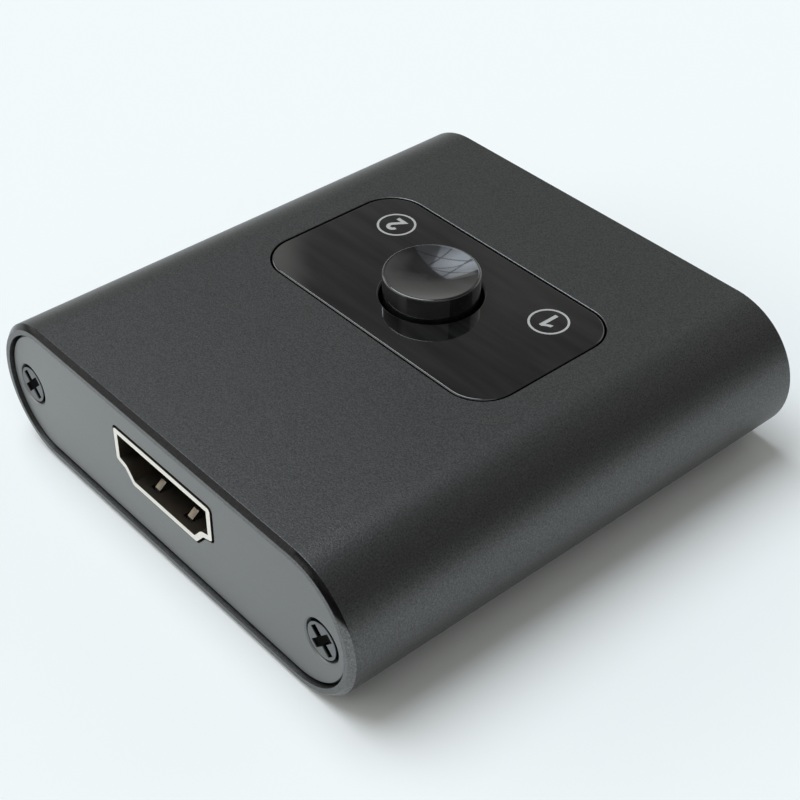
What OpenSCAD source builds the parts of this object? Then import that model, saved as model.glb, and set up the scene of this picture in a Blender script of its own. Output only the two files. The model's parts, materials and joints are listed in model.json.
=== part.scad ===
// Two-way video switch box: an extruded sleeve closed by two screwed end plates, with one
// video socket in the front plate, two in the rear plate and a push button in a gloss inlay.
// Frame: origin at the bottom centre, X across the end plates, Y from the front plate to the
// rear plate, Z up, in millimetres.

/* [Sleeve] */
// Width across the round sides
body_w = 56; // [54:0.5:72]
// Length from mouth to mouth
body_l = 58; // [56:0.5:90]
// Height, which is also the diameter of the round sides
body_h = 16; // [15.5:0.25:19]
// Wall of the extrusion
wall = 1.6; // [1.4:0.05:1.9]
// Wall left round each mouth, where the end plate drops in
lip = 1.1; // [0.8:0.05:1.3]
// Chamfer on the outer edge of each mouth
mouth_chamfer = 0.5; // [0.2:0.05:0.7]
// Wall of the screw channels that run the length of the sleeve
channel_wall = 0.95; // [0.7:0.05:1.2]
// Width of the open slot along each screw channel
channel_slot = 0.9; // [0.5:0.05:1.2]
// Thickness of the webs and rails inside the sleeve
rail_t = 1; // [0.8:0.05:1.3]
// How far the rails reach over and under the board
rail_hold = 1.4; // [0.8:0.1:2]

/* [End plates] */
// Thickness of an end plate
plate_t = 1.5; // [1.2:0.05:2]
// Depth of the plate's face behind the mouth
plate_recess = 0.4; // [0.2:0.05:0.8]
// Gap round the plate in its mouth
plate_gap = 0.2; // [0.05:0.01:0.3]
// Broken edge round the plate's face
plate_edge = 0.12; // [0.05:0.01:0.3]

/* [Screws] */
// Distance of a screw from the side of the body
screw_edge = 4.6; // [4.3:0.05:5.5]
// Drop of the screws below mid height
screw_drop = 0.45; // [0:0.05:0.8]
// Diameter of the shank
screw_d = 2; // [1.6:0.1:2.2]
// Diameter of the countersunk head
screw_head_d = 3.85; // [3.6:0.05:4.4]
// Diameter of the countersink at the plate's face
sink_d = 4.8; // [4.5:0.05:5]
// Length of a screw
screw_l = 7; // [5:0.5:12]
// Upright edge of the screw head
screw_rim = 0.4; // [0.1:0.05:0.45]
// Span of the cross recess
cross_span = 3.2; // [2:0.1:3.3]
// Width of a wing of the cross recess
cross_w = 0.9; // [0.4:0.05:1]
// Depth of the cross recess in its middle
cross_depth = 0.8; // [0.4:0.05:0.9]
// Depth of the cross recess at the ends of its wings
wing_depth = 0.2; // [0.1:0.05:0.35]
// Turn of the cross recess
cross_turn = 44; // [0:1:90]

/* [Top inlay] */
// Width of the gloss inlay
inlay_w = 33.9; // [32:0.1:38]
// Depth of the inlay from front to back
inlay_d = 19.1; // [17:0.1:24]
// Corner radius of the inlay
inlay_r = 4; // [2:0.1:6]
// Thickness of the inlay
inlay_t = 0.8; // [0.5:0.05:0.9]
// Place of the inlay's centre behind the middle of the body
inlay_y = 5.2; // [0:0.1:6]
// Gap round the inlay in its pocket
inlay_gap = 0.15; // [0.08:0.01:0.25]
// Broken edge round the pocket and the inlay
inlay_edge = 0.12; // [0.05:0.01:0.2]
// Thickness of the tape under the inlay
tape_t = 0.15; // [0.1:0.05:0.2]
// Distance of the tape from the inlay's edge
tape_inset = 0.6; // [0.3:0.1:1.5]

/* [Button] */
// Diameter of the button
button_d = 10; // [8:0.1:11]
// Height of the button above the body
button_rise = 2.55; // [1.9:0.05:4]
// Gap round the button in the inlay
button_gap = 0.3; // [0.2:0.05:0.8]
// Broken edge round the button's hole in the inlay
hole_edge = 0.2; // [0.05:0.01:0.3]
// Distance of the button's centre in front of the inlay's
button_drop = 0.3; // [0:0.05:1]
// How far the button goes down
button_travel = 1.5; // [0.8:0.05:1.7]
// Depth of the dish in the button's top
button_dish = 0.55; // [0.2:0.05:0.8]
// Broken edge round the button's top
button_edge = 0.2; // [0.1:0.05:0.4]
// Wall of the button's skirt
button_wall = 1.1; // [0.8:0.05:1.4]

/* [Video sockets] */
// Width of a socket's shell
port_w = 15.5; // [15:0.1:15.6]
// Height of a socket's shell
port_h = 5.75; // [5.5:0.05:6]
// Width of the narrow bottom of the shell
port_bottom_w = 10.3; // [9.8:0.1:11]
// Height at which the upright sides end
port_side_z = 1.8; // [1.6:0.05:2.2]
// Height of the inner corner of the step below the sides
port_step_z = 1.4; // [1:0.05:1.5]
// Width of the step below each side
port_step = 1.4; // [1:0.05:1.5]
// Corner radius of the shell
port_round = 0.4; // [0.2:0.05:0.5]
// Sheet thickness of the shell
port_sheet = 0.6; // [0.4:0.05:0.65]
// Depth of the shell
port_depth = 11.5; // [10:0.1:13]
// Gap round a shell in its end plate
port_gap = 0.25; // [0.15:0.05:0.4]
// How far a shell's mouth stands out of its plate
port_proud = 0.1; // [0:0.05:0.4]
// Share of the rear's free width that lies between the two sockets
port_share = 0.52; // [0.4:0.01:0.7]
// Width of the spring fingers in the shell
finger_w = 0.8; // [0.7:0.05:1.2]
// Distance between the two fingers of a wall
finger_pitch = 5.3; // [4:0.1:6]
// How far a finger stands into the socket
finger_rise = 0.6; // [0.3:0.05:0.7]
// Width of the tongue that carries the contacts
tongue_w = 10.2; // [10:0.1:10.6]
// Thickness of the tongue
tongue_t = 1.2; // [1:0.05:1.4]
// Distance of the tongue behind the mouth
tongue_back = 2.2; // [1.4:0.1:3]
// Length of the insulator's block behind the tongue
block_l = 3.5; // [2.5:0.1:4]
// Width of a contact
contact_w = 0.4; // [0.3:0.02:0.45]
// Thickness of a contact
contact_t = 0.15; // [0.1:0.01:0.2]
// Distance from contact to contact in a row
contact_pitch = 1; // [0.98:0.01:1.02]

/* [Board] */
// Thickness of the circuit board
board_t = 1.6; // [1:0.1:1.6]
// Height of the board's upper face
board_top = 6.2; // [5.8:0.05:6.5]
// Gap between the board and its rails
board_gap = 0.15; // [0.08:0.01:0.25]
// Gap between the board and each end plate
board_end_gap = 0.1; // [0.05:0.01:0.3]
// Gap between the board's edge and the screw channels
board_clear = 0.3; // [0.2:0.05:0.6]

/* [Push switch] */
// Side of the square switch base
base_w = 8.5; // [7.5:0.1:9.5]
// Wall of the switch base
base_wall = 0.8; // [0.6:0.05:1]
// Floor of the switch base
base_floor = 0.5; // [0.4:0.05:0.8]
// Room left under the plunger when it is down
spring_room = 0.85; // [0.5:0.05:1]
// Thickness of the cover on the base
cover_t = 0.4; // [0.3:0.05:0.5]
// Thickness of the plunger's flange
flange_t = 0.9; // [0.6:0.05:1.2]
// Side gap between the plunger and what guides it
slide_gap = 0.15; // [0.1:0.01:0.25]
// Diameter of the plunger's round neck
neck_d = 4.2; // [3.8:0.1:5]
// Side of the square stem that holds the button
stem_w = 2.6; // [2:0.1:2.9]
// Depth of the spring's bore in the plunger
spring_bore_depth = 1.55; // [1:0.05:1.8]
// Diameter of the spring's bore
spring_bore_d = 2.6; // [2.4:0.05:3]
// Wire of the return spring
wire_d = 0.25; // [0.2:0.01:0.3]
// Mean diameter of the return spring
coil_d = 2; // [1.7:0.05:2.1]
// Turns of the return spring
coil_turns = 5; // [4:1:6]
// Distance between the switch's terminals
terminal_pitch = 2.5; // [2:0.1:2.6]
// Width of a terminal
terminal_w = 0.6; // [0.4:0.05:0.8]

/* [Indicators] */
// Distance of an indicator from the inlay's side
indicator_side = 5.45; // [4:0.05:7]
// Distance of the indicators from the inlay's rear edge
indicator_back = 4.4; // [3.7:0.05:5.8]
// Diameter of the window above an indicator
window_d = 3.2; // [2.5:0.1:3.6]
// Wall of the foam tube round an indicator
shade_wall = 0.8; // [0.5:0.05:1]

/* [Chips] */
// Side of the square switching chip
chip_w = 7; // [5:0.1:8]
// Thickness of the chips
chip_t = 0.85; // [0.6:0.05:1]
// Place of the switching chip along the board
chip_y = -7.5; // [-8.5:0.1:-6]
// Length of a protection chip
guard_l = 2.5; // [2:0.1:3]
// Length of a chip capacitor or resistor
passive_l = 1.6; // [1:0.1:2]

/* [Hidden] */
$fn = 64;

// Cuts reach this far past the faces that they open
over = 1;
// Slack of flat pieces that are pressed, soldered or screwed together
seat_gap = 0.03;

// Stations along the body
end_y = body_l / 2;
face_y = end_y - plate_recess;
seat_y = face_y - plate_t;
board_end = seat_y - board_end_gap;

// Screws, their channels and the board between them
screw_x = body_w / 2 - screw_edge;
screw_z = body_h / 2 - screw_drop;
bore_d = screw_d + 2 * seat_gap;
hole_d = screw_d + 2 * slide_gap;
channel_r = bore_d / 2 + channel_wall;
sink_depth = (sink_d - hole_d) / 2;
head_sink = (sink_d - screw_head_d) / 2 - screw_rim - seat_gap;
tip_l = screw_d / 2;
board_half = screw_x - channel_r - board_clear;
board_low = board_top - board_t;
board_corner = 1;

// Inlay with its pocket, its button hole and the lights under it
button_y = inlay_y - button_drop;
indicator_x = inlay_w / 2 - indicator_side;
indicator_y = inlay_y + inlay_d / 2 - indicator_back;
inlay_z = body_h - inlay_t;
pocket_z = inlay_z - tape_t;
ceiling_z = body_h - wall;
button_hole_d = button_d + 2 * button_gap;
cut_margin = 0.3;

// Push switch, from the board up to the button
floor_z = board_top + base_floor;
flange_z = floor_z + button_travel + spring_room;
cover_z = flange_z + flange_t + 2 * seat_gap;
cover_top = cover_z + cover_t;
cavity_w = base_w - 2 * base_wall;
base_corner = 0.5;
cap_z = cover_top + button_travel + slide_gap;
stem_top = ceiling_z - cut_margin;
cap_top = body_h + button_rise;
cap_r = button_d / 2;
cap_roof = stem_top + button_wall;
boss_r = stem_w / 2 * sqrt(2) + button_wall / 2;
dish_r = cap_r - button_edge;
dish_sphere = (dish_r * dish_r + button_dish * button_dish) / (2 * button_dish);
spring_z = floor_z + seat_gap;
spring_top = flange_z + spring_bore_depth - seat_gap;

// Video sockets as [x, end]: end -1 is the front plate and 1 the rear plate
FRONT = [0, -1];
rear_x = port_w / 2 + port_share * (board_half - port_w);
REAR_1 = [rear_x, 1];
REAR_2 = [-rear_x, 1];
PORTS = [FRONT, REAR_1, REAR_2];
tongue_z = port_h / 2;
block_y = port_depth - block_l;
leg_w = 1;
leg_l = 2 * port_sheet;
leg_ys = [3, 9];
finger_tip = 1.1;
finger_peak = 1.9;
finger_root = 6.5;
finger_t = 0.3;
foot_l = 0.8;
row_counts = [10, 9];

// Small parts on the board
led_w = 0.8;
led_t = 0.7;
guard_w = 1;
guard_x = 4.6;
guard_y = 2.2;
passive_w = 0.8;
capacitor_y = 2;
capacitor_x = 1.6;
resistor_x = 3.4;

// Rounded rectangle standing on XY. edge lists [outset, z] up its side, so that chamfers and
// steps run all the way round as planes, cylinders and cones.
module rounded_prism(w, d, r, edge) {
    low = edge[0][1];
    high = edge[len(edge) - 1][1];
    core = [w - 2 * r, d - 2 * r];
    module side() {
        polygon(concat([[0, low]], [for (e = edge) [r + e[0], e[1]]], [[0, high]]));
    }
    for (i = [0:3]) {
        reach = core[i % 2] / 2;
        run = core[1 - i % 2];
        rotate(90 * i) {
            translate([reach, run / 2, 0]) rotate_extrude(angle = 90) side();
            if (run > 0)
                translate([reach, 0, 0]) rotate([90, 0, 0]) linear_extrude(run, center = true) side();
        }
    }
    if (min(core) > 0)
        translate([-core[0] / 2, -core[1] / 2, low]) cube([core[0], core[1], high - low]);
}

// Stadium section of the body, with edge as [outset, y] along its length
module sleeve_form(edge) {
    translate([0, 0, body_h / 2]) rotate([-90, 0, 0]) rounded_prism(body_w, body_h, body_h / 2, edge);
}

// Profile in X and Z, run along Y
module along_y(from, to) {
    translate([0, to, 0]) rotate([90, 0, 0]) linear_extrude(to - from) children();
}

// Profile in Y and Z, run evenly to both sides along X
module along_x(width) {
    rotate([90, 0, 90]) linear_extrude(width, center = true) children();
}

module both_sides() {
    children();
    mirror([1, 0, 0]) children();
}

module at_port(port) {
    translate([port[0], port[1] * (face_y + port_proud), board_top])
        rotate(port[1] > 0 ? 180 : 0) children();
}

module at_screws() {
    both_sides() translate([screw_x, -face_y, screw_z]) rotate([-90, 0, 0]) children();
}

// Open channel for a screw, with its web to the side wall
module screw_channel() {
    translate([screw_x, screw_z]) difference() {
        union() {
            circle(channel_r);
            translate([0, -rail_t / 2]) square([screw_edge - wall / 2, rail_t]);
        }
        circle(d = bore_d);
        translate([-channel_slot / 2, 0]) square([channel_slot, channel_r + over]);
    }
}

// Slotted rail that holds one edge of the board
module board_rail() {
    inner = board_half - rail_hold;
    outer = board_half + board_gap;
    translate([outer, wall / 2]) square([rail_t, board_top + board_gap + rail_t - wall / 2]);
    for (z = [board_low - rail_t, board_top + board_gap])
        translate([inner, z]) square([outer - inner + rail_t / 2, rail_t]);
}

module housing_tube() {
    color("#4b4d50") difference() {
        union() {
            difference() {
                sleeve_form([
                    [-mouth_chamfer, -end_y], [0, mouth_chamfer - end_y],
                    [0, end_y - mouth_chamfer], [-mouth_chamfer, end_y]
                ]);
                sleeve_form([
                    [-lip, -end_y - over], [-lip, -seat_y], [-wall, -seat_y],
                    [-wall, seat_y], [-lip, seat_y], [-lip, end_y + over]
                ]);
            }
            both_sides() along_y(-seat_y, seat_y) {
                screw_channel();
                board_rail();
            }
        }
        translate([0, inlay_y, 0]) rounded_prism(inlay_w, inlay_d, inlay_r, [
            [inlay_gap, pocket_z], [inlay_gap, body_h - inlay_edge],
            [inlay_gap + inlay_edge, body_h], [inlay_gap + inlay_edge, body_h + over]
        ]);
        translate([0, button_y, ceiling_z - over])
            cylinder(d = button_hole_d + 2 * cut_margin, h = wall + over);
        both_sides() translate([indicator_x, indicator_y, ceiling_z - over])
            cylinder(d = window_d, h = wall + over);
    }
}

// End plate at the front, with a cut-out for each socket at the given places
module end_plate(places) {
    inset = lip + plate_gap;
    color("#75777a") difference() {
        sleeve_form([[-inset - plate_edge, -face_y], [-inset, plate_edge - face_y], [-inset, -seat_y]]);
        for (x = places)
            translate([x, 0, board_top]) along_y(-face_y - over, over - seat_y) port_outline(port_gap);
        at_screws() rotate_extrude() polygon([
            [0, -over], [sink_d / 2, -over], [sink_d / 2, 0], [hole_d / 2, sink_depth],
            [hole_d / 2, plate_t + over], [0, plate_t + over]
        ]);
    }
}

module front_plate() {
    end_plate([0]);
}

module rear_plate() {
    mirror([0, 1, 0]) end_plate([-rear_x, rear_x]);
}

// Countersunk cross-head screw with its head towards -Z. The wings of its cross slope to the middle.
module screw() {
    head_h = screw_rim + (screw_head_d - screw_d) / 2;
    reach = norm([cross_span, cross_w]) / 2;
    difference() {
        rotate_extrude() polygon([
            [0, 0], [screw_head_d / 2, 0], [screw_head_d / 2, screw_rim], [screw_d / 2, head_h],
            [screw_d / 2, screw_l - tip_l], [screw_d / 4, screw_l], [0, screw_l]
        ]);
        intersection() {
            for (turn = [0, 90])
                rotate(cross_turn + turn) translate([-cross_span / 2, -cross_w / 2, -over])
                    cube([cross_span, cross_w, over + cross_depth]);
            rotate_extrude() polygon([
                [0, -over], [reach + over, -over], [reach + over, 0], [reach, wing_depth],
                [cross_w / 2, cross_depth], [0, cross_depth]
            ]);
        }
    }
}

module front_screws() {
    color("#3c3e41") at_screws() translate([0, 0, head_sink]) screw();
}

module rear_screws() {
    mirror([0, 1, 0]) front_screws();
}

module top_inlay() {
    hole_r = button_hole_d / 2;
    color("#141416") difference() {
        translate([0, inlay_y, 0]) rounded_prism(inlay_w, inlay_d, inlay_r, [
            [0, inlay_z], [0, body_h - inlay_edge], [-inlay_edge, body_h]
        ]);
        translate([0, button_y, 0]) rotate_extrude() polygon([
            [0, inlay_z - over], [hole_r, inlay_z - over], [hole_r, body_h - hole_edge],
            [hole_r + hole_edge, body_h], [hole_r + hole_edge, body_h + over], [0, body_h + over]
        ]);
    }
}

// Double-sided tape that holds the inlay, open round the button and over the indicators
module inlay_tape() {
    color("#2a2a2c") difference() {
        translate([0, inlay_y, 0])
            rounded_prism(inlay_w, inlay_d, inlay_r, [[-tape_inset, pocket_z], [-tape_inset, inlay_z]]);
        translate([0, button_y, pocket_z - over])
            cylinder(d = button_hole_d + 4 * cut_margin, h = tape_t + 2 * over);
        both_sides() translate([indicator_x, indicator_y, pocket_z - over])
            cylinder(d = window_d + 2 * cut_margin, h = tape_t + 2 * over);
    }
}

module circuit_board() {
    color("#15191a") difference() {
        rounded_prism(2 * board_half, 2 * board_end, board_corner, [[0, board_low], [0, board_top]]);
        for (port = PORTS)
            at_port(port) both_sides() for (y = leg_ys)
                translate([port_w / 2 - port_sheet / 2, y, -board_t / 2])
                    cube([port_sheet + 2 * port_gap, leg_w + 2 * port_gap, board_t + over], center = true);
        at_terminals() translate([0, 0, -board_t / 2])
            cylinder(d = 2 * terminal_w, h = board_t + over, center = true);
    }
}

// Outline of a socket's shell seen from its mouth, narrow side on the board
module port_outline(grow) {
    side = port_w / 2;
    foot = port_bottom_w / 2;
    right = [[foot, 0], [side - port_step, port_step_z], [side, port_side_z], [side, port_h]];
    left = [for (i = [3:-1:0]) [-right[i][0], right[i][1]]];
    offset(delta = grow, $fn = 24) offset(r = port_round, $fn = 24) offset(r = -2 * port_round, $fn = 24)
        offset(r = port_round, $fn = 24) polygon(concat(right, left));
}

// Spring finger in the bottom wall: it rises from its root, crests and dips towards the mouth
module finger() {
    crest = port_sheet + finger_rise;
    along_x(finger_w) polygon([
        [finger_root + finger_t, port_sheet], [finger_peak + finger_t, crest], [finger_peak, crest],
        [finger_tip, port_sheet], [finger_tip, port_sheet - finger_t], [finger_peak, crest - finger_t],
        [finger_peak + finger_t, crest - finger_t], [finger_root + finger_t, port_sheet - finger_t]
    ]);
}

module at_fingers() {
    for (flip = [0, 1])
        translate([0, 0, flip * port_h]) mirror([0, 0, flip])
            both_sides() translate([finger_pitch / 2, 0, 0]) children();
}

// Folded shell of a socket, mouth at y = 0, with its windows, fingers and board legs
module port_shell() {
    color("#d9d3c4") {
        difference() {
            along_y(0, port_depth) difference() {
                port_outline(0);
                port_outline(-port_sheet);
            }
            at_fingers() translate([-finger_w / 2 - finger_t, finger_tip - finger_t, -over])
                cube([finger_w + 2 * finger_t, finger_root - finger_tip + finger_t, port_sheet + 2 * over]);
        }
        at_fingers() finger();
        both_sides() for (y = leg_ys)
            translate([port_w / 2 - port_sheet, y - leg_w / 2, -board_t - leg_l])
                cube([port_sheet, leg_w, board_t + leg_l + port_side_z + leg_w]);
    }
}

// Place of each contact in the two rows of the tongue
module at_contacts() {
    for (row = [0, 1]) {
        count = row_counts[row];
        for (i = [0:count - 1])
            translate([(i - (count - 1) / 2) * contact_pitch, 0, 0]) children(row);
    }
}

// Moulded block at the back of the shell with the tongue that reaches towards the mouth
module port_insulator() {
    half_t = tongue_t / 2;
    slot_w = contact_w + 2 * seat_gap;
    slot_t = contact_t + seat_gap;
    slot = [slot_w, port_depth + over, slot_t];
    color("#161617") {
        difference() {
            along_y(block_y, port_depth) port_outline(-port_sheet - seat_gap);
            at_contacts() {
                translate([-slot_w / 2, 0, tongue_z + half_t]) cube(slot);
                translate([-slot_w / 2, 0, tongue_z - half_t - slot_t]) cube(slot);
            }
        }
        along_x(tongue_w) polygon([
            [tongue_back, tongue_z - half_t / 2], [tongue_back + half_t, tongue_z - half_t],
            [block_y, tongue_z - half_t], [block_y, tongue_z + half_t],
            [tongue_back + half_t, tongue_z + half_t], [tongue_back, tongue_z + half_t / 2]
        ]);
    }
}

// Contact that lies on the tongue, runs back through the block and down to its foot on the board
module contact(low, high, bend) {
    start = tongue_back + tongue_t;
    along_x(contact_w) polygon([
        [start, low], [start, high], [bend, high], [bend, contact_t],
        [bend + foot_l, contact_t], [bend + foot_l, 0], [bend - contact_t, 0], [bend - contact_t, low]
    ]);
}

module port_contacts() {
    upper = tongue_z + tongue_t / 2;
    lower = tongue_z - tongue_t / 2 - contact_t;
    bend = port_depth + 2 * contact_t;
    color("#c8a24a") at_contacts() {
        contact(upper, upper + contact_t, bend);
        contact(lower, lower + contact_t, bend);
    }
}

module front_port_shell() {
    at_port(FRONT) port_shell();
}

module front_port_insulator() {
    at_port(FRONT) port_insulator();
}

module front_port_contacts() {
    at_port(FRONT) port_contacts();
}

module rear_port_1_shell() {
    at_port(REAR_1) port_shell();
}

module rear_port_1_insulator() {
    at_port(REAR_1) port_insulator();
}

module rear_port_1_contacts() {
    at_port(REAR_1) port_contacts();
}

module rear_port_2_shell() {
    at_port(REAR_2) port_shell();
}

module rear_port_2_insulator() {
    at_port(REAR_2) port_insulator();
}

module rear_port_2_contacts() {
    at_port(REAR_2) port_contacts();
}

// Open box of the push switch, on the board under the button
module switch_base() {
    color("#202124") translate([0, button_y, 0]) difference() {
        rounded_prism(base_w, base_w, base_corner, [[0, board_top], [0, cover_z]]);
        translate([-cavity_w / 2, -cavity_w / 2, floor_z]) cube([cavity_w, cavity_w, cover_z]);
    }
}

module switch_cover() {
    color("#b9bcbf") translate([0, button_y, 0]) difference() {
        rounded_prism(base_w, base_w, base_corner, [[0, cover_z], [0, cover_top]]);
        translate([0, 0, cover_z - over]) cylinder(d = neck_d + 2 * slide_gap, h = cover_t + 2 * over);
    }
}

// Places of the six terminals where they meet the board's upper face
module at_terminals() {
    for (i = [-1:1])
        both_sides() translate([base_w / 2 - base_wall, button_y + i * terminal_pitch, board_top])
            children();
}

module switch_terminals() {
    color("#cfcabb") at_terminals() translate([-terminal_w / 2, -terminal_w / 4, -board_t - leg_l])
        cube([terminal_w, terminal_w / 2, board_t + leg_l]);
}

// Sliding plunger: flange in the base, neck through the cover, stem in the button
module switch_plunger() {
    flange_w = cavity_w - 2 * slide_gap;
    color("#e6e4de") translate([0, button_y, 0]) difference() {
        union() {
            translate([-flange_w / 2, -flange_w / 2, flange_z]) cube([flange_w, flange_w, flange_t]);
            translate([0, 0, flange_z]) cylinder(d = neck_d, h = cap_z - flange_z);
            translate([-stem_w / 2, -stem_w / 2, cap_z]) cube([stem_w, stem_w, stem_top - cap_z]);
        }
        translate([0, 0, flange_z - over]) cylinder(d = spring_bore_d, h = spring_bore_depth + over);
    }
}

// Point of the return spring's centre line, for t from 0 to 1
function coil_point(t) = [
    coil_d / 2 * cos(360 * coil_turns * t), coil_d / 2 * sin(360 * coil_turns * t),
    spring_z + wire_d / 2 + (spring_top - spring_z - wire_d) * t
];

module switch_spring() {
    sides = 6;
    rings = 16 * coil_turns;
    pitch_rise = (spring_top - spring_z - wire_d) / coil_turns;
    echo(spring_gap = pitch_rise * cos(atan(pitch_rise / (PI * coil_d))) - wire_d);
    points = [
        for (i = [0:rings], j = [0:sides - 1])
            let (
                p = coil_point(i / rings), turn = 360 * coil_turns * i / rings, a = 360 * j / sides,
                out = wire_d / 2 * cos(a)
            )
            [p[0] + out * cos(turn), p[1] + out * sin(turn), p[2] + wire_d / 2 * sin(a)]
    ];
    walls = [
        for (i = [0:rings - 1], j = [0:sides - 1])
            let (a = i * sides + j, b = i * sides + (j + 1) % sides)
            each [[a, b + sides, b], [a, a + sides, b + sides]]
    ];
    last = rings * sides;
    start_cap = [for (j = [1:sides - 2]) [0, j, j + 1]];
    end_cap = [for (j = [1:sides - 2]) [last, last + j + 1, last + j]];
    color("#b5b8bb") translate([0, button_y, 0]) polyhedron(points, concat(walls, start_cap, end_cap));
}

// Push button with a dished top, a hollow skirt and a boss on the plunger's stem
module button_cap() {
    socket_w = stem_w + 2 * seat_gap;
    color("#121214") translate([0, button_y, 0]) difference() {
        rotate_extrude() polygon([
            [0, cap_z], [boss_r, cap_z], [boss_r, cap_roof], [cap_r - button_wall, cap_roof],
            [cap_r - button_wall, cap_z], [cap_r, cap_z], [cap_r, cap_top - button_edge],
            [dish_r, cap_top], [0, cap_top]
        ]);
        translate([0, 0, cap_top - button_dish + dish_sphere]) sphere(dish_sphere, $fn = 128);
        translate([-socket_w / 2, -socket_w / 2, cap_z - over])
            cube([socket_w, socket_w, stem_top + seat_gap - cap_z + over]);
    }
}

module indicator_leds() {
    color("#f1efe6") both_sides() translate([indicator_x, indicator_y, board_top]) {
        rounded_prism(2 * led_w, led_w, led_w / 8, [[0, 0], [0, led_t / 2]]);
        rounded_prism(led_w, led_w, led_w / 4, [[0, led_t / 2], [-led_w / 8, led_t]]);
    }
}

// Foam tubes that keep the light of the two indicators apart
module light_shades() {
    color("#1a1a1b") both_sides() translate([indicator_x, indicator_y, board_top]) difference() {
        cylinder(d = window_d + 2 * shade_wall, h = ceiling_z - board_top);
        translate([0, 0, -over]) cylinder(d = window_d, h = ceiling_z - board_top + 2 * over);
    }
}

module switch_chip() {
    color("#1b1c1e") translate([0, chip_y, 0]) difference() {
        rounded_prism(chip_w, chip_w, base_corner / 2, [[0, board_top], [0, board_top + chip_t]]);
        translate([passive_w - chip_w / 2, chip_w / 2 - passive_w, board_top + chip_t / 2])
            cylinder(d = passive_w, h = chip_t);
    }
}

// Protection chips, two behind each socket's contacts
module guard_chips() {
    color("#1b1c1e") for (port = PORTS)
        at_port(port) both_sides() translate([guard_x, port_depth + guard_y, 0])
            rounded_prism(guard_l, guard_w, base_corner / 4, [[0, 0], [0, chip_t]]);
}

// Chip capacitor or resistor with its two metal ends a little proud of the body
module passive(height) {
    cap_l = passive_l / 4;
    translate([0, 0, height / 2]) {
        cube([passive_l - cap_l, passive_w - 2 * seat_gap, height - 2 * seat_gap], center = true);
        both_sides() translate([(passive_l - cap_l) / 2, 0, 0])
            cube([cap_l, passive_w, height], center = true);
    }
}

module capacitors() {
    color("#b59a72") for (i = [-1.5:1.5])
        both_sides() translate([chip_w / 2 + capacitor_x, chip_y + i * capacitor_y, board_top])
            passive(passive_w);
}

module resistors() {
    color("#232326") both_sides() for (i = [0, 1])
        translate([chip_w / 2 + capacitor_x + resistor_x, chip_y + (i * 2 - 1) * capacitor_y, board_top])
            passive(passive_w / 2);
}

housing_tube();
front_plate();
rear_plate();
front_screws();
rear_screws();
top_inlay();
inlay_tape();
circuit_board();
front_port_shell();
front_port_insulator();
front_port_contacts();
rear_port_1_shell();
rear_port_1_insulator();
rear_port_1_contacts();
rear_port_2_shell();
rear_port_2_insulator();
rear_port_2_contacts();
switch_base();
switch_cover();
switch_terminals();
switch_plunger();
switch_spring();
button_cap();
indicator_leds();
light_shades();
switch_chip();
guard_chips();
capacitors();
resistors();
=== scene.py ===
"""Looks of the two-way video switch box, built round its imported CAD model.

Lengths are metres in the model's frame: X runs across the end plates, Y from the plate with one socket to
the plate with two, and Z up from the surface that the box stands on.
"""

import json
import math

import bmesh
import bpy
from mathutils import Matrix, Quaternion, Vector


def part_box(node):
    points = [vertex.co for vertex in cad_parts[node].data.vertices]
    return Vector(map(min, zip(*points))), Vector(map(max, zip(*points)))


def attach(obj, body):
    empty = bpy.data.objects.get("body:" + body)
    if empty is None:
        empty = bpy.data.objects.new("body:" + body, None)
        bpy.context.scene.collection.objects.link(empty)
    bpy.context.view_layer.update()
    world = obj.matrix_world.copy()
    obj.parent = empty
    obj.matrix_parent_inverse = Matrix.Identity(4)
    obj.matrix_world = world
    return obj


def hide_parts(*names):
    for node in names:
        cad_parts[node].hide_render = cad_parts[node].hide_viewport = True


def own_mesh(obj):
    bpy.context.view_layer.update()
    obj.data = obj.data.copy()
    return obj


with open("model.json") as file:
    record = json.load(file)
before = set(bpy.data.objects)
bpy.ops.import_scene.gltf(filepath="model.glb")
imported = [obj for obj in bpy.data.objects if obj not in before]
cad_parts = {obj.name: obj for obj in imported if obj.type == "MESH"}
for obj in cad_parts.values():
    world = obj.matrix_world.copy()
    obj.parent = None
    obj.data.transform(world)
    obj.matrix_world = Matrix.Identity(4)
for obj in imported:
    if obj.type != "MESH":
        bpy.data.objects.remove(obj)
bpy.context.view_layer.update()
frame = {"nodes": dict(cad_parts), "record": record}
nodes = frame["nodes"]
MM = 0.001

# Camera, fitted to the photograph. AXIS_PX is where the camera's axis meets the picture.
IMAGE_SIDE = 800
SENSOR = 36.0
FOCAL_PX = 1710.5
AXIS_PX = (394.81, 374.44)
CAMERA_AZIMUTH = math.radians(49.184)
CAMERA_ELEVATION = math.radians(38.175)
CAMERA_ROLL = math.radians(-0.105)
CAMERA_DISTANCE = 174.885 * MM
CAMERA_TARGET = Vector((0, 0, 8 * MM))
CLIP_SHARE = 0.05

# Light: a broad key from high on the left and a window behind the box, as the camera sees them. Azimuths
# are degrees from -X towards +Y.
KEY_AZIMUTH = -20
KEY_ELEVATION = 66
KEY_ANGLE = math.radians(46)
KEY_STRENGTH = 2.05
KEY_COLOUR = (0.936, 1.0, 1.066)
WINDOW_AZIMUTH = 36
WINDOW_ELEVATION = 45
WINDOW_DISTANCE = 3.0
WINDOW_ROLL = math.radians(17.9)
WINDOW_OFFSET = (0.116, 0.135)
WINDOW_SIZE = (0.81, 1.53)
WINDOW_COLOUR = (0.90, 0.99, 1.11)

# Brightness of the window: the most and the least, the place of the pane that has the most, and the
# distances from there between which it falls
WINDOW_BRIGHT = 2.4
WINDOW_DIM = 0.7
GLOW_PLACE = (0.235, -0.185)
GLOW_RANGE = (0.2, 0.74)

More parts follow.
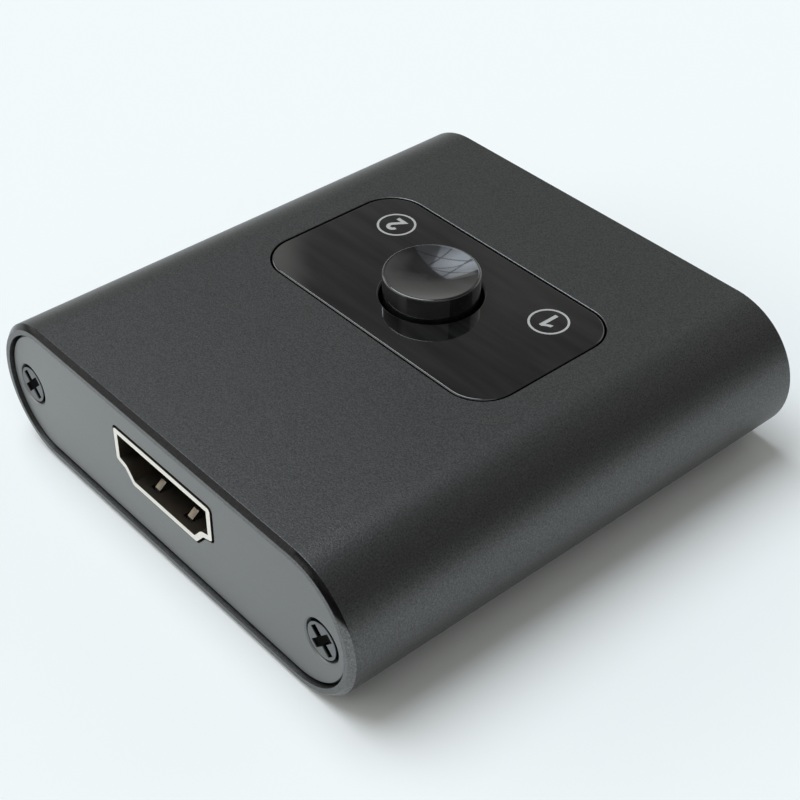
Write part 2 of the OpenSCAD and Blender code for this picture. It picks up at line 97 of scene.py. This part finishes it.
# Dim corner of the window: the way across the corner's edge, where along that way the edge lies, and the
# share of light that the corner keeps
CORNER_WAY = (0.823, -0.567, 0)
CORNER_EDGE = (-0.26, -0.21)
CORNER_SHADE = 0.32

# Branches outside the window: each is an arc through three points of the pane. Then the distances from an
# arc between which its soft edge lies, and the share of light that a branch lets through
BRANCHES = (
    ((-0.366, 0.525), (-0.039, 0.069), (0.248, -0.343)),
    ((-0.407, -0.062), (-0.106, 0.132), (0.222, 0.353)),
    ((-0.393, -0.158), (-0.051, -0.339), (0.301, -0.286)),
    ((-0.381, -0.258), (-0.237, -0.503), (-0.087, -0.680)),
    ((-0.344, -0.593), (-0.041, -0.410), (0.300, -0.253)),
)
BRANCH_EDGE = (0.008, 0.022)
BRANCH_SHADE = 0.22

# Room: its colour, its even brightness, and what its parts add to that. A part has a range of azimuth, a
# range of elevation, half the width of its soft edges, all in degrees, and a brightness.
ROOM_COLOUR = (0.995, 1.0, 0.97)
ROOM_EVEN = 0.135
ROOM_PARTS = (
    ((-200, 200), (-30, 14), 8, 0.14),
    ((-100, 115), (-30, 30), 10, 0.13),
    ((-80, 2), (11, 31), 3, 1.7),
    ((20, 115), (4, 31), 3, 0.11),
    ((60, 115), (-5, 45), 6, 0.30),
    ((53, 70), (30, 52), 3, 0.14),
    ((28, 36.8), (31, 36), 0.8, 0.40),
    ((44, 54), (31, 36.3), 1.2, 0.07),
    ((-200, -60), (28, 80), 10, 0.50),
)

# Floor: its size, how far it lies below the box, its colour, the size of its lumps and their least
# brightness
FLOOR_SIDE = 12.0
FLOOR_CELLS = 8
FLOOR_DROP = 0.02 * MM
FLOOR_COLOUR = (0.929, 0.95, 0.943)
FLOOR_LUMPS = 0.4
FLOOR_LOW = 0.995

# Printed marks on the inlay: the centres of their rings, and the sizes of their lines
MARKS = {"1": (11.29 * MM, 10.30 * MM), "2": (-11.69 * MM, 10.38 * MM)}
MARK_THICK = 0.012 * MM
RING_RADIUS = 1.99 * MM
RING_STROKE = 0.24 * MM
RING_TURNS = 96
NUMERAL_STROKE = 0.43 * MM
MITRE_LEAST = 0.5

# Button, as a turned form that follows its CAD solid
BUTTON_TURNS = 160
BUTTON_DISH = 0.55 * MM
BUTTON_EDGE = 0.2 * MM
BUTTON_WALL = 1.1 * MM
BUTTON_SHARP = math.radians(40)
DISH_STEPS = 28
EDGE_STEPS = 8
STEM_HALF = 1.3 * MM
STEM_GAP = 0.1 * MM

# Small rounds on the sharp edges of CAD nodes: their widths, the least angle of a sharp edge, and the
# angle and the distance below which faces and points are joined first
EASE_WIDTH = 0.05 * MM
SHELL_EASE_WIDTH = 0.06 * MM
EASE_SEGMENTS = 2
EASE_ANGLE = math.radians(20)
JOIN_ANGLE = math.radians(0.5)
JOIN_REACH = 0.001 * MM

# Colour ramps end at 1, so factors on a colour are halved first and can go up to 2
HEADROOM = 2

# Width over which a shade that depends on place fades
FADE = 0.1 * MM

# Sleeve: its colour, the size of its grain and the range of the grain's brightness
SLEEVE_GREY = (0.105, 0.106, 0.106)
GRAIN_SIZE = 0.15 * MM
GRAIN_SHADES = (0.67, 1.33)

# How far along Y a normal points where the sleeve turns from its sides to its chamfers, from these to its
# cut ends, and from blasted to smooth
CHAMFER_TILT = (0.15, 0.45)
END_TILT = (0.84, 0.95)
SMOOTH_TILT = (0.1, 0.5)

# Share of the sleeve's brightness that the chamfers at its mouths have: painted shade where they face up,
# and a painted highlight elsewhere, where they face sideways or down. Then how far up a normal points where
# that changes, where the chamfers start, and the share that the cut ends have
CHAMFER_SHADE = 0.17
CHAMFER_LOW_HIGHLIGHT = 1.35
CHAMFER_TURN = (0.36, 0.42)
CHAMFER_START = 28.4 * MM
END_SHADE = 1.12

# Walls of the pocket for the inlay, darkened by painted shade up to near its edge: half their reach in X,
# their heights, and the share of brightness that the painted shade leaves
POCKET_REACH = 18 * MM
POCKET_FLOOR = 14.2 * MM
POCKET_TOP = (15.93 * MM, 15.97 * MM)
POCKET_SHADE = 0.08

# Painted highlight on the broken edges of the inlay: its grey, the heights that it stays between, and how
# far up a normal points where it begins and where it ends
EDGE_HIGHLIGHT_GREY = 0.015
EDGE_LOW = (15.91 * MM, 15.95 * MM)
EDGE_TOP = 16.2 * MM
EDGE_BEGIN = (0.2, 0.4)
EDGE_END = (0.85, 0.97)

# Plates: their colour; the range of a painted light factor along X, lighter towards -X and darker towards
# +X, and where that range ends; and the grey of the painted shade in the sinks round the screws
PLATE_GREY = (0.228, 0.232, 0.232)
PLATE_LIGHT_FALL = (1.1, 0.9)
PLATE_LIGHT_FALL_REACH = 20 * MM
SINK_SHADE_GREY = (0.01, 0.01, 0.01)

# Places of the plates' outer faces and of the screws, how far from a screw the painted shade of its sink
# reaches, and how deep the painted shade in a screw's cross recess begins and ends
PLATE_FACE = 28.6 * MM
SCREW_X = 23.4 * MM
SCREW_Z = 7.55 * MM
SINK_SHADE_RADII = (2.2 * MM, 2.28 * MM)
RECESS_SHADE_DEPTHS = (PLATE_FACE - 0.26 * MM, PLATE_FACE - 0.05 * MM)

# Share by which the roughness of a plain material goes up and down
ROUGHNESS_SPREAD = 0.15


def direction(azimuth, elevation):
    """Unit vector towards a light: azimuth in degrees from -X towards +Y, elevation in degrees."""
    a, e = math.radians(azimuth), math.radians(elevation)
    return Vector((-math.cos(a) * math.cos(e), math.sin(a) * math.cos(e), math.sin(e)))


def add_object(name, data):
    made = bpy.data.objects.new(name, data)
    bpy.context.scene.collection.objects.link(made)
    return made


def add_camera():
    data = bpy.data.cameras.new("camera")
    data.sensor_width = SENSOR
    data.lens = SENSOR * FOCAL_PX / IMAGE_SIDE
    data.shift_x = 0.5 - AXIS_PX[0] / IMAGE_SIDE
    data.shift_y = AXIS_PX[1] / IMAGE_SIDE - 0.5
    data.clip_start = CAMERA_DISTANCE * CLIP_SHARE
    camera = add_object("camera", data)
    flat = math.cos(CAMERA_ELEVATION)
    back = Vector((
        math.sin(CAMERA_AZIMUTH) * flat, -math.cos(CAMERA_AZIMUTH) * flat, math.sin(CAMERA_ELEVATION)
    ))
    camera.location = CAMERA_TARGET + back * CAMERA_DISTANCE
    camera.rotation_mode = "QUATERNION"
    camera.rotation_quaternion = (-back).to_track_quat("-Z", "Y") @ Quaternion((0, 0, 1), CAMERA_ROLL)
    bpy.context.scene.camera = camera


# Node helpers


def node(tree, kind, inputs=None, **settings):
    """Adds a shader node. inputs gives a socket a value or another node's output."""
    made = tree.nodes.new("ShaderNode" + kind)
    for name, value in settings.items():
        setattr(made, name, value)
    for key, value in (inputs or {}).items():
        if isinstance(value, bpy.types.NodeSocket):
            tree.links.new(value, made.inputs[key])
        else:
            made.inputs[key].default_value = value
    return made


def place_of(tree):
    """Place of the shaded point in the model's frame."""
    return node(tree, "TexCoord").outputs["Object"]


def normal_of(tree):
    """Normal at the shaded point."""
    return node(tree, "NewGeometry").outputs["Normal"]


def along(tree, source, axis):
    """One axis of a vector."""
    return node(tree, "SeparateXYZ", {"Vector": source}).outputs[axis]


def absolute(tree, value):
    return node(tree, "Math", {0: value}, operation="ABSOLUTE").outputs[0]


def size_along(tree, source, axis):
    """Absolute value of one axis of a vector."""
    return absolute(tree, along(tree, source, axis))


def distance(tree, first, second):
    """Distance between two places."""
    return node(tree, "VectorMath", {0: first, 1: second}, operation="DISTANCE").outputs["Value"]


def combine(tree, operation, first, *others):
    """Runs a math operation along a row of numbers and node outputs."""
    for value in others:
        first = node(tree, "Math", {0: first, 1: value}, operation=operation).outputs[0]
    return first


def noise(tree, size, detail=2.0, stretch=(1, 1, 1)):
    """Noise in the model's frame with lumps of about size metres, longer along axes with more stretch."""
    scale = [1 / (size * s) for s in stretch]
    place = node(tree, "Mapping", {"Vector": place_of(tree), "Scale": scale}).outputs["Vector"]
    return node(tree, "TexNoise", {"Vector": place, "Scale": 1.0, "Detail": detail}).outputs["Fac"]


def level(tree, value, low, high, start=0.3, end=0.7):
    """Number from low to high as value goes from start to end."""
    limits = {"Value": value, "From Min": start, "From Max": end, "To Min": low, "To Max": high}
    return node(tree, "MapRange", limits).outputs["Result"]


def share_where(tree, mask, share):
    """Factor that is 1 where mask is 0, and share where mask is 1."""
    return level(tree, mask, 1, share, 0, 1)


def shades(tree, value, dark, light, start=0.3, end=0.7):
    """Colour from dark to light as value goes from start to end."""
    ramp = node(tree, "ValToRGB", {"Fac": value})
    for stop, place, colour in zip(ramp.color_ramp.elements, (start, end), (dark, light)):
        stop.position = place
        stop.color = (*colour, 1)
    return ramp.outputs["Color"]


def scaled(colour, factor):
    return tuple(c * factor for c in colour)


def tinted(tree, colour, factor, dark=(0, 0, 0)):
    """Colour times a factor that goes from 0, where it is dark, up to HEADROOM."""
    value = combine(tree, "MULTIPLY", factor, 1 / HEADROOM)
    return shades(tree, value, dark, scaled(colour, HEADROOM), 0, 1)


def from_screw(tree):
    """Distance from the axis of the nearest screw."""
    place = place_of(tree)
    flat = {"X": size_along(tree, place, "X"), "Z": along(tree, place, "Z")}
    return distance(tree, node(tree, "CombineXYZ", flat).outputs["Vector"], (SCREW_X, 0, SCREW_Z))


def relief(tree, height, depth, strength=1.0):
    """Normal of a surface with a relief of height times depth metres."""
    return node(tree, "Bump", {"Height": height, "Distance": depth, "Strength": strength}).outputs["Normal"]


def surface(name, **values):
    """New material: returns it, its tree and a function that sets or links its shader's sockets."""
    material = bpy.data.materials.new(name)
    material.use_nodes = True
    tree = material.node_tree
    shader = tree.nodes["Principled BSDF"]

    def put(socket, value):
        if isinstance(value, bpy.types.NodeSocket):
            tree.links.new(value, shader.inputs[socket])
        else:
            shader.inputs[socket].default_value = value

    for key, value in values.items():
        put(key.replace("_", " ").title().replace("Ior", "IOR"), value)
    return material, tree, put


# Materials


def mouth_share(tree, normal, mouth):
    """Share of brightness at the sleeve's mouths: painted shade on the chamfers above, a painted highlight
    on them low down, and pale cut ends.
    """
    cut = size_along(tree, normal, "Y")
    end = level(tree, cut, 0, 1, *END_TILT)
    slope = combine(
        tree, "MULTIPLY", mouth, level(tree, cut, 0, 1, *CHAMFER_TILT), share_where(tree, end, 0)
    )
    chamfer = level(tree, along(tree, normal, "Z"), CHAMFER_LOW_HIGHLIGHT, CHAMFER_SHADE, *CHAMFER_TURN)
    return combine(
        tree, "MULTIPLY", share_where(tree, slope, chamfer), share_where(tree, end, END_SHADE)
    )


def pocket_share(tree, place, mouth):
    """Share of brightness at the inlay's pocket, whose walls get painted shade."""
    height = along(tree, place, "Z")
    walls = combine(
        tree, "MULTIPLY",
        level(tree, height, 1, 0, *POCKET_TOP),
        level(tree, height, 0, 1, POCKET_FLOOR, POCKET_FLOOR + FADE),
        level(tree, size_along(tree, place, "X"), 1, 0, POCKET_REACH, POCKET_REACH + FADE),
        share_where(tree, mouth, 0),
    )
    return share_where(tree, walls, POCKET_SHADE)


def sleeve_aluminium():
    """Sand-blasted aluminium, anodised dark grey, and smooth where it is cut across. Its mouths' chamfers
    carry painted shade and a painted highlight, and its pocket's walls painted shade.
    """
    material, tree, put = surface("sleeve_aluminium", metallic=1.0)
    place, normal = place_of(tree), normal_of(tree)
    grain = noise(tree, GRAIN_SIZE, detail=3.0)
    cut = size_along(tree, normal, "Y")
    mouth = level(tree, size_along(tree, place, "Y"), 0, 1, CHAMFER_START, CHAMFER_START + FADE)
    tone = combine(
        tree, "MULTIPLY",
        level(tree, grain, *GRAIN_SHADES),
        mouth_share(tree, normal, mouth),
        pocket_share(tree, place, mouth),
    )
    put("Base Color", tinted(tree, SLEEVE_GREY, tone))
    put("Roughness", level(tree, cut, 0.39, 0.22, *SMOOTH_TILT))
    put("Normal", relief(tree, grain, 0.03 * MM, level(tree, cut, 0.7, 0.05, *SMOOTH_TILT)))
    return material


def plate_aluminium():
    """Satin aluminium with faint lines across its width, painted light that falls off from -X to +X, and
    painted shade in the sinks round the screws.
    """
    material, tree, put = surface("plate_aluminium", metallic=1.0)
    lines = noise(tree, 0.05 * MM, stretch=(200, 1, 1))
    across = along(tree, place_of(tree), "X")
    tone = combine(
        tree, "MULTIPLY",
        # Painted shade in the countersinks round the screws
        level(tree, from_screw(tree), 0, 1, *SINK_SHADE_RADII),
        level(tree, lines, 0.97, 1.03),
        # Painted light: lighter towards -X, darker towards +X
        level(tree, across, *PLATE_LIGHT_FALL, -PLATE_LIGHT_FALL_REACH, PLATE_LIGHT_FALL_REACH),
    )
    put("Base Color", tinted(tree, PLATE_GREY, tone, dark=SINK_SHADE_GREY))
    put("Roughness", level(tree, noise(tree, 0.2 * MM), 0.42, 0.48))
    put("Normal", relief(tree, lines, 0.004 * MM, strength=0.25))
    return material


def screw_steel():
    """Steel with fine turning marks, and painted shade that darkens it towards the bottom of the cross
    recess.
    """
    material, tree, put = surface("screw_steel", metallic=1.0)
    marks = noise(tree, 0.1 * MM, detail=3.0)
    height = level(tree, size_along(tree, place_of(tree), "Y"), 0, 1, *RECESS_SHADE_DEPTHS)
    put("Base Color", shades(tree, height, (0.006, 0.006, 0.006), (0.17, 0.175, 0.178), 0.2, 1))
    put("Roughness", level(tree, marks, 0.38, 0.46))
    put("Normal", relief(tree, marks, 0.01 * MM, strength=0.3))
    return material


def gloss_black():
    """Clear gloss over black, with soft streaks across the box, painted in its colour as reflection and
    also in its roughness, and a painted highlight on the broken edges of the inlay.
    """
    material, tree, put = surface("gloss_black", ior=1.5, coat_weight=1.0, coat_roughness=0.03)
    streaks = noise(tree, 1.6 * MM, stretch=(8, 1, 1))
    up = along(tree, normal_of(tree), "Z")
    height = along(tree, place_of(tree), "Z")
    edge = combine(
        tree, "MULTIPLY",
        level(tree, up, 0, 1, *EDGE_BEGIN),
        level(tree, up, 1, 0, *EDGE_END),
        level(tree, height, 0, 1, *EDGE_LOW),
        level(tree, height, 1, 0, EDGE_TOP, EDGE_TOP + FADE),
        EDGE_HIGHLIGHT_GREY,
    )
    # Streaks in the colour are painted reflection; the edge term is a painted highlight
    grey = combine(tree, "ADD", level(tree, streaks, 0.002, 0.012), edge)
    colour = node(tree, "CombineColor", {"Red": grey, "Green": grey, "Blue": grey})
    put("Base Color", colour.outputs["Color"])
    put("Roughness", level(tree, streaks, 0.03, 0.09))
    return material


def socket_nickel():
    """Nickel-plated sheet, bright on its cut edge at the mouth; its walls and fingers, which face across
    the opening, get dark brown painted shade.
    """
    material, tree, put = surface("socket_nickel", metallic=1.0)
    facing = size_along(tree, normal_of(tree), "Y")
    # Faces that turn away from the mouth are darkened with painted shade
    put("Base Color", shades(tree, facing, (0.20, 0.17, 0.135), (0.86, 0.82, 0.74), 0.7, 0.97))
    put("Roughness", level(tree, noise(tree, 0.4 * MM, detail=3.0), 0.32, 0.38))
    return material


def print_grey():
    """Light grey ink."""
    material, tree, put = surface("print_grey")
    put("Base Color", shades(tree, noise(tree, 0.1 * MM), (0.40, 0.40, 0.39), (0.47, 0.47, 0.46)))
    put("Roughness", level(tree, noise(tree, 0.3 * MM), 0.35, 0.45))
    return material


def plain(name, colour, roughness, size, metallic=0.0, spread=0.12, depth=0.01 * MM):
    """Moulded, plated or printed stuff: its colour, roughness and relief vary over lumps of that size."""
    material, tree, put = surface(name, metallic=metallic)
    lumps = noise(tree, size, detail=3.0)
    smooth, rough = roughness * (1 - ROUGHNESS_SPREAD), roughness * (1 + ROUGHNESS_SPREAD)
    put("Base Color", shades(tree, lumps, scaled(colour, 1 - spread), scaled(colour, 1 + spread)))
    put("Roughness", level(tree, lumps, smooth, rough))
    put("Normal", relief(tree, lumps, depth, strength=0.3))
    return material


MATERIALS = {
    "sleeve_aluminium": sleeve_aluminium(),
    "plate_aluminium": plate_aluminium(),
    "screw_steel": screw_steel(),
    "gloss_black": gloss_black(),
    "socket_nickel": socket_nickel(),
    "tape": plain("tape", (0.03, 0.03, 0.03), 0.8, 0.3 * MM),
    "board": plain("board", (0.016, 0.018, 0.018), 0.4, 0.8 * MM),
    "socket_black": plain("socket_black", (0.024, 0.021, 0.018), 0.45, 0.2 * MM),
    "contact_gold": plain("contact_gold", (0.72, 0.50, 0.18), 0.25, 0.3 * MM, metallic=1.0),
    "switch_black": plain("switch_black", (0.02, 0.02, 0.022), 0.5, 0.2 * MM),
    "switch_steel": plain("switch_steel", (0.5, 0.5, 0.5), 0.3, 0.3 * MM, metallic=1.0),
    "tinned": plain("tinned", (0.6, 0.58, 0.52), 0.35, 0.2 * MM, metallic=1.0),
    "plunger_white": plain("plunger_white", (0.72, 0.71, 0.67), 0.4, 0.3 * MM, spread=0.04),
    "led": plain("led", (0.8, 0.78, 0.7), 0.3, 0.3 * MM, spread=0.05),
    "foam": plain("foam", (0.02, 0.02, 0.02), 0.9, 0.25 * MM, spread=0.4, depth=0.1 * MM),
    "chip_black": plain("chip_black", (0.02, 0.021, 0.023), 0.55, 0.15 * MM),
    "ceramic": plain("ceramic", (0.42, 0.32, 0.19), 0.5, 0.15 * MM),
    "print_grey": print_grey(),
}


# Pieces


def dress_nodes():
    """Gives every CAD node the material of its slot."""
    for part in frame["record"]["subparts"]:
        slots = nodes[part["node"]].data.materials
        slots.clear()
        slots.append(MATERIALS[part["material_slot"]])


def ease_edges(name, width):
    """Breaks a CAD node's sharp edges with a small round that catches the light."""
    piece = nodes[name]
    weld = piece.modifiers.new("weld", "WELD")
    weld.merge_threshold = JOIN_REACH
    flat = piece.modifiers.new("flat", "DECIMATE")
    flat.decimate_type = "DISSOLVE"
    flat.angle_limit = JOIN_ANGLE
    bevel = piece.modifiers.new("bevel", "BEVEL")
    bevel.limit_method = "ANGLE"
    bevel.angle_limit = EASE_ANGLE
    bevel.width = width
    bevel.segments = EASE_SEGMENTS
    piece.modifiers.new("normals", "WEIGHTED_NORMAL")


def mesh_piece(name, form, material, body):
    """Turns a bmesh into a piece that rides on a body."""
    bmesh.ops.recalc_face_normals(form, faces=form.faces)
    mesh = bpy.data.meshes.new(name)
    form.to_mesh(mesh)
    form.free()
    mesh.materials.append(material)
    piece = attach(add_object(name, mesh), body)
    return piece


def turned(profile, centre, turns):
    """Form turned about the vertical through centre, from a profile of (radius, height) points that starts
    and ends on the axis. A point on the axis becomes one vertex."""
    form = bmesh.new()
    rings = []
    for radius, height in profile:
        count = turns if radius > 0 else 1
        angles = [2 * math.pi * i / count for i in range(count)]
        rings.append([
            form.verts.new((centre[0] + radius * math.cos(a), centre[1] + radius * math.sin(a), height))
            for a in angles
        ])
    for ring, after in zip(rings, rings[1:]):
        for i in range(turns):
            corners = [ring[i % len(ring)], ring[(i + 1) % len(ring)]]
            corners += [after[(i + 1) % len(after)], after[i % len(after)]]
            form.faces.new(list(dict.fromkeys(corners)))
    return form


def arc(centre, radius, start, end, count):
    """Points of an arc, with its angles in degrees."""
    steps = [math.radians(start + (end - start) * i / count) for i in range(count + 1)]
    return [(centre[0] + radius * math.cos(a), centre[1] + radius * math.sin(a)) for a in steps]


def stroke(form, path, width, low, high, closed=False):
    """Adds a flat band of the given width along a path in XY, from height low to height high."""
    count = len(path)
    points = [Vector(p) for p in path]
    corners = ((1, high), (-1, high), (-1, low), (1, low))
    sides = []
    for i, p in enumerate(points):
        before = points[i - 1] if i or closed else p
        after = points[(i + 1) % count] if i < count - 1 or closed else p
        ways = [(b - a).normalized() for a, b in ((before, p), (p, after)) if (b - a).length > 0]
        way = sum(ways, Vector((0, 0))).normalized()
        across = Vector((-way.y, way.x)) * (width / 2 / max(way.dot(ways[0]), MITRE_LEAST))
        sides.append([form.verts.new((*(p + across * side), z)) for side, z in corners])
    for a, b in zip(sides, sides[1:] + sides[:1] if closed else sides[1:]):
        for k in range(4):
            form.faces.new((a[k], b[k], b[(k + 1) % 4], a[(k + 1) % 4]))
    if not closed:
        form.faces.new(sides[0])
        form.faces.new(sides[-1])


def slab(form, outline, low, high):
    """Adds a flat plate with an outline in XY, from height low to height high."""
    under, over = ([form.verts.new((*p, z)) for p in outline] for z in (low, high))
    form.faces.new(under)
    form.faces.new(over)
    for i in range(len(outline)):
        form.faces.new((under[i - 1], under[i], over[i], over[i - 1]))


# Numerals are drawn in millimetres to the right of and above the ring's centre. place puts such a point
# in XY.


def numeral_one(form, place, low, high):
    stem = [(0.36, -1.30), (0.36, 1.03), (-0.02, 1.03)]
    flag = [(-0.12, 0.90), (-0.38, 0.71), (-0.80, 0.52), (-0.80, 0.12), (-0.42, 0.27), (-0.06, 0.52)]
    slab(form, [place(*p) for p in stem + flag + [(-0.06, -1.30)]], low, high)


def numeral_two(form, place, low, high):
    path = arc((0.05, 0.50), 0.48, 178, -35, 20) + [(-0.32, -0.89), (0.79, -0.89)]
    stroke(form, [place(*p) for p in path], NUMERAL_STROKE, low, high)


def add_button():
    """Push button with a dished top, a rounded rim and a hollow skirt round its boss."""
    low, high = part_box("button_cap")
    middle = (low + high) / 2
    radius = (high.x - low.x) / 2
    rim = radius - BUTTON_EDGE
    sphere = (rim ** 2 + BUTTON_DISH ** 2) / (2 * BUTTON_DISH)
    tilts = [math.asin(rim / sphere) * i / DISH_STEPS for i in range(DISH_STEPS)]
    bottom = high.z - BUTTON_DISH
    profile = [(sphere * math.sin(t), bottom + sphere * (1 - math.cos(t))) for t in tilts]
    profile += arc((rim, high.z - BUTTON_EDGE), BUTTON_EDGE, 90, 0, EDGE_STEPS)
    stem_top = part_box("switch_plunger")[1].z
    bore = STEM_HALF * math.sqrt(2) + STEM_GAP
    boss = bore + BUTTON_WALL / 2
    inner = radius - BUTTON_WALL
    roof = stem_top + BUTTON_WALL
    profile += [(radius, low.z), (inner, low.z), (inner, roof), (boss, roof), (boss, low.z), (bore, low.z)]
    profile += [(bore, stem_top + STEM_GAP), (0, stem_top + STEM_GAP)]
    form = turned(profile, middle, BUTTON_TURNS)
    button = mesh_piece("button", form, MATERIALS["gloss_black"], "button")
    button.data.shade_smooth()
    button.data.set_sharp_from_angle(angle=BUTTON_SHARP)
    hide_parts("button_cap")
    return button


def add_spring():
    """Return spring of the switch, which in the real switch shortens as the button goes down; here it is a
    copy of its CAD node that rides on the housing.
    """
    spring = add_object("return_spring", nodes["switch_spring"].data.copy())
    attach(spring, "housing")
    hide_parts("switch_spring")
    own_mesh(spring)


def add_marks():
    """The two ringed numerals on the inlay, which read from the rear."""
    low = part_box("top_inlay")[1].z
    high = low + MARK_THICK
    for name, numeral in (("1", numeral_one), ("2", numeral_two)):
        x, y = MARKS[name]
        form = bmesh.new()
        ring = arc((x, y), RING_RADIUS, 0, 360, RING_TURNS)[:-1]
        stroke(form, ring, RING_STROKE, low, high, closed=True)
        mesh_piece("ring_" + name, form, MATERIALS["print_grey"], "housing")
        form = bmesh.new()
        numeral(form, lambda right, up: (x - right * MM, y - up * MM), low, high)
        mesh_piece("numeral_" + name, form, MATERIALS["print_grey"], "housing")


# Room


def add_floor():
    form = bmesh.new()
    bmesh.ops.create_grid(form, x_segments=FLOOR_CELLS, y_segments=FLOOR_CELLS, size=FLOOR_SIDE / 2)
    mesh = bpy.data.meshes.new("floor")
    form.to_mesh(mesh)
    form.free()
    material, tree, put = surface("floor", roughness=1.0)
    lumps = noise(tree, FLOOR_LUMPS)
    put("Base Color", shades(tree, lumps, scaled(FLOOR_COLOUR, FLOOR_LOW), FLOOR_COLOUR))
    put("Specular IOR Level", 0.0)
    mesh.materials.append(material)
    floor = add_object("floor", mesh)
    floor.location.z = -FLOOR_DROP


def add_lamp(name, kind, azimuth, elevation):
    """Lamp that shines on the object from a direction. Returns its object and its data."""
    data = bpy.data.lights.new(name, kind)
    lamp = add_object(name, data)
    lamp.rotation_mode = "QUATERNION"
    lamp.rotation_quaternion = direction(azimuth, elevation).to_track_quat("Z", "Y")
    return lamp, data


def add_key():
    key = add_lamp("key", "SUN", KEY_AZIMUTH, KEY_ELEVATION)[1]
    key.energy = KEY_STRENGTH
    key.color = KEY_COLOUR
    key.angle = KEY_ANGLE


def circle_through(a, b, c):
    """Centre and radius of the circle through three points."""
    (ax, ay), (bx, by), (cx, cy) = a, b, c
    twice = 2 * (ax * (by - cy) + bx * (cy - ay) + cx * (ay - by))
    squares = [x * x + y * y for x, y in (a, b, c)]
    x = (squares[0] * (by - cy) + squares[1] * (cy - ay) + squares[2] * (ay - by)) / twice
    y = (squares[0] * (cx - bx) + squares[1] * (ax - cx) + squares[2] * (bx - ax)) / twice
    return (x, y, 0), math.hypot(x - ax, y - ay)


def pane_brightness(tree):
    """Brightness over the window: a glow on one side, a dim corner, and dark branches outside."""
    start = (-WINDOW_SIZE[0] / 2, -WINDOW_SIZE[1] / 2, 0)
    pane = {0: node(tree, "NewGeometry").outputs["Parametric"], 1: (*WINDOW_SIZE, 0), 2: start}
    place = node(tree, "VectorMath", pane, operation="MULTIPLY_ADD").outputs["Vector"]
    gaps = []
    for points in BRANCHES:
        middle, radius = circle_through(*points)
        gaps.append(absolute(tree, combine(tree, "SUBTRACT", distance(tree, place, middle), radius)))
    twigs = level(tree, combine(tree, "MINIMUM", *gaps), BRANCH_SHADE, 1.0, *BRANCH_EDGE)
    glow = level(tree, distance(tree, place, (*GLOW_PLACE, 0)), WINDOW_BRIGHT, WINDOW_DIM, *GLOW_RANGE)
    across = node(tree, "VectorMath", {0: place, 1: CORNER_WAY}, operation="DOT_PRODUCT").outputs["Value"]
    corner = level(tree, across, CORNER_SHADE, 1.0, *CORNER_EDGE)
    return combine(tree, "MULTIPLY", glow, corner, twigs)


def add_window(mirror):
    """Window behind the box. Only the piece called mirror catches its light."""
    lamp, window = add_lamp("window", "AREA", WINDOW_AZIMUTH, WINDOW_ELEVATION)
    lamp.rotation_quaternion = lamp.rotation_quaternion @ Quaternion((0, 0, 1), WINDOW_ROLL)
    lamp.location = direction(WINDOW_AZIMUTH, WINDOW_ELEVATION) * WINDOW_DISTANCE
    lamp.location += lamp.rotation_quaternion @ Vector((*WINDOW_OFFSET, 0))
    window.shape = "RECTANGLE"
    window.size, window.size_y = WINDOW_SIZE
    window.energy = math.pi * WINDOW_SIZE[0] * WINDOW_SIZE[1]
    window.use_nodes = True
    tree = window.node_tree
    light = tree.nodes["Emission"].inputs
    light["Color"].default_value = (*WINDOW_COLOUR, 1)
    tree.links.new(pane_brightness(tree), light["Strength"])
    lit = bpy.data.collections.new("window_light")
    lit.objects.link(mirror)
    lamp.light_linking.receiver_collection = lit


def band(tree, value, limits, fade):
    """1 where value lies between two limits in degrees, with a soft edge, and 0 elsewhere. value is in
    radians."""
    ends = []
    for limit in limits:
        start, end = math.radians(limit - fade), math.radians(limit + fade)
        edge = {"Value": value, "From Min": start, "From Max": end}
        ends.append(node(tree, "MapRange", edge, interpolation_type="SMOOTHSTEP").outputs["Result"])
    return combine(tree, "SUBTRACT", *ends)


def add_room():
    """World with an even dim light, to which the parts of the room add theirs."""
    world = bpy.data.worlds.new("room")
    bpy.context.scene.world = world
    world.use_nodes = True
    tree = world.node_tree
    way = node(tree, "SeparateXYZ", {"Vector": node(tree, "TexCoord").outputs["Generated"]}).outputs
    azimuth = combine(tree, "ARCTAN2", way["Y"], combine(tree, "MULTIPLY", way["X"], -1.0))
    elevation = node(tree, "Math", {0: way["Z"]}, operation="ARCSINE").outputs[0]
    parts = []
    for azimuths, elevations, fade, added in ROOM_PARTS:
        sides = band(tree, azimuth, azimuths, fade), band(tree, elevation, elevations, fade)
        parts.append(combine(tree, "MULTIPLY", *sides, added))
    light = tree.nodes["Background"].inputs
    light["Color"].default_value = (*ROOM_COLOUR, 1)
    tree.links.new(combine(tree, "ADD", ROOM_EVEN, *parts), light["Strength"])


dress_nodes()
for eased in ("housing_tube", "front_plate", "rear_plate", "front_screws", "rear_screws", "top_inlay"):
    ease_edges(eased, EASE_WIDTH)
for eased in ("front_port_shell", "rear_port_1_shell", "rear_port_2_shell"):
    ease_edges(eased, SHELL_EASE_WIDTH)
button = add_button()
add_spring()
add_marks()
add_camera()
add_floor()
add_key()
add_window(button)
add_room()
bpy.context.scene.view_settings.view_transform = "Standard"
